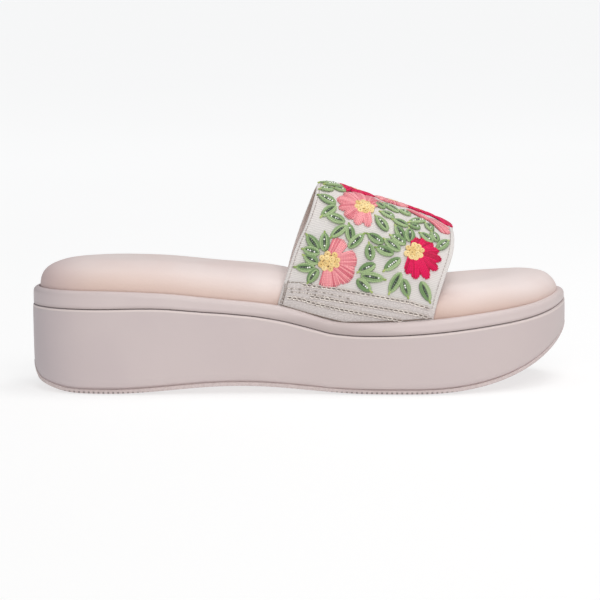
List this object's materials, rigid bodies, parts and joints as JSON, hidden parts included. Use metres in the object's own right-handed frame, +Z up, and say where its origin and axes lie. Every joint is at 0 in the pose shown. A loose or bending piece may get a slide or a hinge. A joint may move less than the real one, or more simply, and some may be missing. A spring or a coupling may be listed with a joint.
{
  "type": "womens wedge slide sandal",
  "caption": "Right womens slide sandal with a tall wedge sole, thick padded insole and one wide fabric band worked with traditional flower embroidery",
  "frame": {"origin": "on the floor under the middle of the sole, at the bottom centre of the whole shoe's box", "axes": "+X towards the toe, +Z up, +Y towards the inner (medial) side of this right shoe"},
  "size_m": [0.252, 0.0891, 0.0942],
  "materials": {
    "outsole_rubber": "matte",
    "wedge_cover": "satin",
    "rim_cover": "satin",
    "insole_cover": "soft satin",
    "band_fabric": "woven twill, with thread and bead embroidery"
  },
  "bodies": {
    "root": {"outsole": "outsole_rubber", "wedge_midsole": "wedge_cover", "footbed_rim": "rim_cover", "insole": "insole_cover", "upper_band": "band_fabric"}
  },
  "joints": []
}
